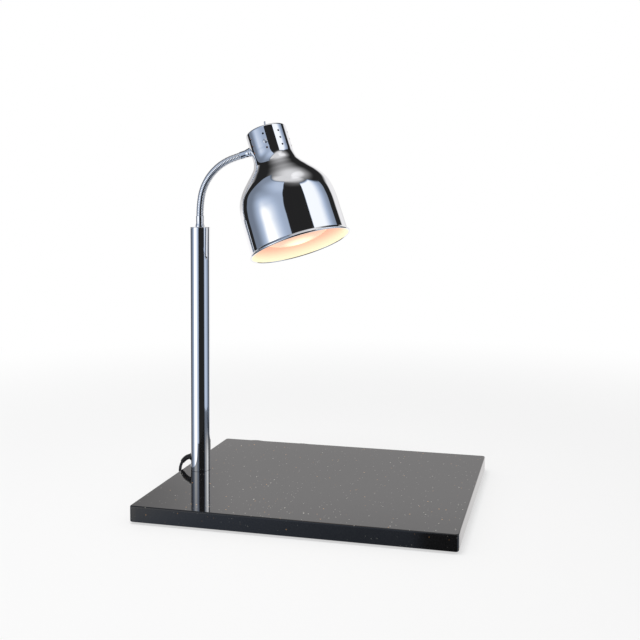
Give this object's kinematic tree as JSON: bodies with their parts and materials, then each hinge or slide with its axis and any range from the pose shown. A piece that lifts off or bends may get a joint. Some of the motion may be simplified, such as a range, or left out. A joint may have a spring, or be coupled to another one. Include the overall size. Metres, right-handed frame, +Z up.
{
  "type": "food heat lamp",
  "caption": "Countertop food heat lamp: polished black stone carving base, chromed post, gooseneck arm and chromed bell shade with a reflector bulb, toggle switch and mains lead.",
  "frame": {"origin": "on the table, under the centre of the stone base; z = 0 at the bottoms of the feet", "axes": "+Z up; +X from the post side to the free end of the base, along its long edge; the front of the base faces -Y"},
  "size_m": [0.5169, 0.4603, 0.6254],
  "materials": {
    "stone": "polished black granite with fine pale flecks, eased edges",
    "chrome": "bright polished chrome plate",
    "steel": "zinc-plated, satin",
    "brass": "plain",
    "rubber": "matt black",
    "cord": "black PVC sheath, satin",
    "black_plastic": "black, semi-gloss",
    "porcelain": "white glaze",
    "bulb_glass": "lightly frosted, lit warm",
    "filament": "glowing wire",
    "wire_red": "brown wire sleeve",
    "wire_blue": "blue wire sleeve"
  },
  "bodies": {
    "base": {"base_slab": "stone", "foot_front_left": "rubber", "foot_back_left": "rubber", "foot_front_right": "rubber", "foot_back_right": "rubber", "base_washer": "steel", "base_bolt": "steel", "post_foot_plug": "steel", "post_tube": "chrome", "post_top_cap": "chrome", "lead_sleeve": "rubber", "mains_lead": "cord", "lead_hank": "cord", "hank_tie": "rubber", "plug_body": "black_plastic", "plug_pin_1": "brass", "plug_pin_2": "brass", "post_cable": "cord"},
    "arm_1": {"lower_ferrule": "chrome", "ferrule_lock_nut": "steel", "flex_1": "chrome", "flex_cable_1": "cord"},
    "arm_2": {"flex_2": "chrome", "flex_cable_2": "cord"},
    "arm_3": {"flex_3": "chrome", "flex_cable_3": "cord"},
    "arm_4": {"flex_4": "chrome", "flex_cable_4": "cord"},
    "arm_5": {"flex_5": "chrome", "flex_cable_5": "cord", "upper_ferrule": "chrome", "neck_lock_nut": "steel"},
    "head": {"shade": "chrome", "neck_collar": "chrome", "neck_saddle_washer": "steel", "holder_bracket": "steel", "bracket_screw_1": "chrome", "bracket_screw_2": "chrome", "lampholder_body": "porcelain", "lampholder_shell": "brass", "lampholder_contact": "brass", "holder_screw_1": "steel", "holder_screw_2": "steel", "bulb_glass": "bulb_glass", "bulb_cap": "brass", "bulb_cap_insulator": "black_plastic", "bulb_contact": "brass", "bulb_stem": "bulb_glass", "filament": "filament", "switch_body": "black_plastic", "switch_bush": "chrome", "switch_nut": "chrome", "switch_tag_1": "brass", "switch_tag_2": "brass", "wire_neutral": "wire_blue", "wire_live": "wire_red", "wire_switched": "wire_red"},
    "toggle": {"switch_lever": "chrome"}
  },
  "joints": [
    {"name": "arm_swivel", "type": "hinge", "parent": "base", "child": "arm_1", "pos_m": [-0.2184, 0, 0.445], "axis": [0, 0, 1], "range_deg": [-90, 90]},
    {"name": "bend_1", "type": "hinge", "parent": "arm_1", "child": "arm_2", "pos_m": [-0.21658, 0.00026, 0.49102], "axis": [-0.1392, 0.9903, 0], "range_deg": [-14, 4]},
    {"name": "bend_2", "type": "hinge", "parent": "arm_2", "child": "arm_3", "pos_m": [-0.20947, 0.00126, 0.51704], "axis": [-0.1392, 0.9903, 0], "range_deg": [-14, 4]},
    {"name": "bend_3", "type": "hinge", "parent": "arm_3", "child": "arm_4", "pos_m": [-0.19461, 0.00334, 0.53947], "axis": [-0.1392, 0.9903, 0], "range_deg": [-14, 4]},
    {"name": "bend_4", "type": "hinge", "parent": "arm_4", "child": "arm_5", "pos_m": [-0.17347, 0.00631, 0.55598], "axis": [-0.1392, 0.9903, 0], "range_deg": [-14, 4]},
    {"name": "head_swivel", "type": "hinge", "parent": "arm_5", "child": "head", "pos_m": [-0.13073, 0.01232, 0.57205], "axis": [0.9363, 0.1316, 0.3256], "range_deg": [-30, 30]},
    {"name": "switch_toggle", "type": "hinge", "parent": "head", "child": "toggle", "pos_m": [-0.10841, 0.02167, 0.61127], "axis": [0.0703, -0.9786, 0.1934], "range_deg": [0, 24]}
  ]
}
